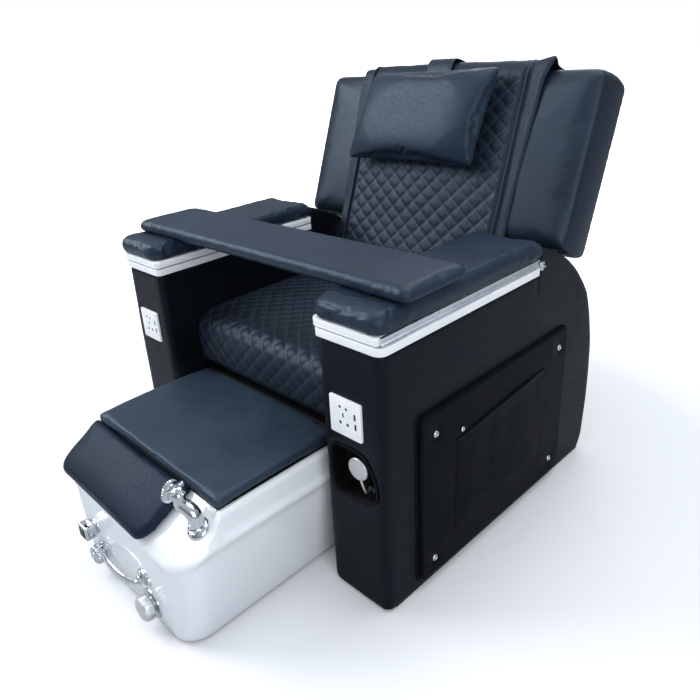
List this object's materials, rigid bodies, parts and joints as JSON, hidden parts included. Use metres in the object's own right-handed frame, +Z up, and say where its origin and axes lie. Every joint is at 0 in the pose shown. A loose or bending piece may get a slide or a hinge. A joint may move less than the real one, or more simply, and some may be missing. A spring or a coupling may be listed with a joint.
{
  "type": "pedicure spa chair",
  "caption": "Upholstered recliner armchair with a pull-out glossy white foot bath, padded lid, footrest and tray, sliding armrests, head pillow and massage carriage.",
  "frame": {"origin": "middle of the chair's overall box, on the floor", "axes": "+Z up; -Y is the way the sitter faces, towards the foot bath; +X is the sitter's left"},
  "size_m": [0.952, 1.382, 1.08],
  "materials": {
    "black_leather": "soft satin artificial leather, fine grain",
    "quilted_leather": "diamond-quilted satin artificial leather",
    "tub_acrylic": "high gloss white acrylic",
    "chrome": "polished chrome",
    "slide_steel": "zinc-bright steel",
    "frame_steel": "black powder coat",
    "white_trim": "satin white edge trim",
    "socket_plastic": "white moulded plastic",
    "black_plastic": "black moulded plastic",
    "black_rubber": "matt rubber",
    "plywood": "bare plywood"
  },
  "bodies": {
    "base": {"base_frame": "frame_steel", "arm_box_left": "black_leather", "arm_box_right": "black_leather", "rear_panel": "black_leather", "side_panel_left": "black_leather", "side_panel_right": "black_leather", "side_pocket": "black_leather", "panel_screw_1": "chrome", "panel_screw_2": "chrome", "panel_screw_3": "chrome", "panel_screw_4": "chrome", "pocket_snap": "chrome", "socket_left": "socket_plastic", "socket_right": "socket_plastic", "release_cup": "black_plastic", "trim_lower_left": "white_trim", "trim_lower_right": "white_trim", "rail_outer_left": "slide_steel", "rail_outer_right": "slide_steel", "seat_board": "plywood", "seat_cushion": "quilted_leather", "front_apron": "quilted_leather", "foot_strip_left": "black_rubber", "foot_strip_right": "black_rubber", "hinge_rod": "slide_steel"},
    "release_lever": {"release_lever": "chrome"},
    "armrest_left": {"arm_pad_left": "black_leather", "trim_upper_left": "white_trim", "rail_inner_left": "slide_steel"},
    "armrest_right": {"arm_pad_right": "black_leather", "trim_upper_right": "white_trim", "rail_inner_right": "slide_steel"},
    "tray": {"tray_board": "black_leather"},
    "backrest": {"back_frame": "frame_steel", "back_shell": "black_leather", "back_cover": "quilted_leather", "pillow_strap": "black_leather", "lead_screw": "slide_steel"},
    "head_pillow": {"pillow": "black_leather"},
    "massage_carriage": {"massage_carriage": "black_plastic"},
    "upper_roller": {"roller_upper": "black_rubber"},
    "lower_roller": {"roller_lower": "black_rubber"},
    "actuator_body": {"actuator_body": "black_plastic"},
    "actuator_rod": {"actuator_rod": "slide_steel"},
    "tub": {"tub_shell": "tub_acrylic", "footrest_pad": "black_leather", "faucet_base": "chrome", "pull_handle": "chrome", "overflow_plate": "chrome", "jet_pump": "black_plastic"},
    "lid": {"tub_lid": "black_leather"},
    "front_wheels": {"wheelset_front": "black_rubber"},
    "rear_wheels": {"wheelset_rear": "black_rubber"},
    "spout": {"faucet_spout": "chrome"},
    "shower_head": {"shower_head": "chrome"},
    "temp_knob": {"knob_temp": "chrome"},
    "temp_button": {"temp_button": "black_plastic"},
    "flow_knob": {"knob_flow": "chrome"},
    "drain_knob": {"knob_drain": "chrome"},
    "drain_plug": {"drain_plug": "chrome"}
  },
  "joints": [
    {"name": "back_recline", "type": "hinge", "parent": "base", "child": "backrest", "pos_m": [0, 0.39951, 0.52], "axis": [-1, 0, 0], "range_deg": [0, 35]},
    {"name": "actuator_tilt", "type": "hinge", "parent": "base", "child": "actuator_body", "pos_m": [0.016, -0.04049, 0.33], "axis": [1, 0, 0], "range_deg": [0, 1.5]},
    {"name": "actuator_extend", "type": "slide", "parent": "actuator_body", "child": "actuator_rod", "axis": [0, 0.9976, 0.0687], "range_m": [-0.1, 0]},
    {"name": "release_pull", "type": "hinge", "parent": "base", "child": "release_lever", "pos_m": [0.414, -0.27449, 0.302], "axis": [0.9363, 0, 0.3511], "range_deg": [0, 35]},
    {"name": "armrest_slide_left", "type": "slide", "parent": "base", "child": "armrest_left", "axis": [0, -1, 0], "range_m": [0, 0.15]},
    {"name": "armrest_slide_right", "type": "slide", "parent": "base", "child": "armrest_right", "axis": [0, -1, 0], "range_m": [0, 0.15]},
    {"name": "tray_lift", "type": "slide", "parent": "base", "child": "tray", "axis": [0, 0, 1], "range_m": [0, 0.25]},
    {"name": "pillow_slide", "type": "slide", "parent": "backrest", "child": "head_pillow", "axis": [0, 0.3448, 0.9387], "range_m": [-0.05, 0.05]},
    {"name": "massage_travel", "type": "slide", "parent": "backrest", "child": "massage_carriage", "axis": [0, 0.3448, 0.9387], "range_m": [-0.1, 0.11]},
    {"name": "upper_roller_spin", "type": "hinge", "parent": "massage_carriage", "child": "upper_roller", "pos_m": [0, 0.50188, 0.85461], "axis": [1, 0, 0], "continuous": true},
    {"name": "lower_roller_spin", "type": "hinge", "parent": "massage_carriage", "child": "lower_roller", "pos_m": [0, 0.48395, 0.8058], "axis": [1, 0, 0], "continuous": true},
    {"name": "tub_slide", "type": "slide", "parent": "base", "child": "tub", "axis": [0, -1, 0], "range_m": [0, 0.15]},
    {"name": "front_wheels_roll", "type": "hinge", "parent": "tub", "child": "front_wheels", "pos_m": [0, -0.59049, 0.0205], "axis": [1, 0, 0], "range_deg": [0, 440]},
    {"name": "rear_wheels_roll", "type": "hinge", "parent": "tub", "child": "rear_wheels", "pos_m": [0, -0.25049, 0.0205], "axis": [1, 0, 0], "range_deg": [0, 440]},
    {"name": "lid_lift", "type": "slide", "parent": "tub", "child": "lid", "axis": [0, 0, 1], "range_m": [0, 0.12]},
    {"name": "spout_swivel", "type": "hinge", "parent": "tub", "child": "spout", "pos_m": [0.224, -0.57749, 0.31], "axis": [0, 0, 1], "range_deg": [-15, 70]},
    {"name": "shower_pull", "type": "slide", "parent": "spout", "child": "shower_head", "axis": [-0.9387, -0.32, 0.128], "range_m": [0, 0.06]},
    {"name": "temp_knob_turn", "type": "hinge", "parent": "tub", "child": "temp_knob", "pos_m": [-0.141, -0.65189, 0.126], "axis": [0, -1, 0], "range_deg": [-90, 90]},
    {"name": "temp_button_push", "type": "slide", "parent": "temp_knob", "child": "temp_button", "axis": [0, 1, 0], "range_m": [0, 0.004]},
    {"name": "flow_knob_turn", "type": "hinge", "parent": "tub", "child": "flow_knob", "pos_m": [-0.127, -0.65189, 0.058], "axis": [0, -1, 0], "range_deg": [0, 180]},
    {"name": "drain_knob_turn", "type": "hinge", "parent": "tub", "child": "drain_knob", "pos_m": [0.106, -0.65189, 0.057], "axis": [0, -1, 0], "range_deg": [0, 92]},
    {"name": "drain_plug_lift", "type": "slide", "parent": "tub", "child": "drain_plug", "axis": [0, 0, 1], "range_m": [0, 0.008]}
  ],
  "couplings": [
    {"joint": "actuator_tilt", "follows": "back_recline", "ratio": 0.027509},
    {"joint": "actuator_extend", "follows": "back_recline", "m_per_rad": -0.15706},
    {"joint": "front_wheels_roll", "follows": "tub_slide", "rad_per_m": 50},
    {"joint": "rear_wheels_roll", "follows": "tub_slide", "rad_per_m": 50},
    {"joint": "drain_knob_turn", "follows": "drain_plug_lift", "rad_per_m": 196.35}
  ]
}
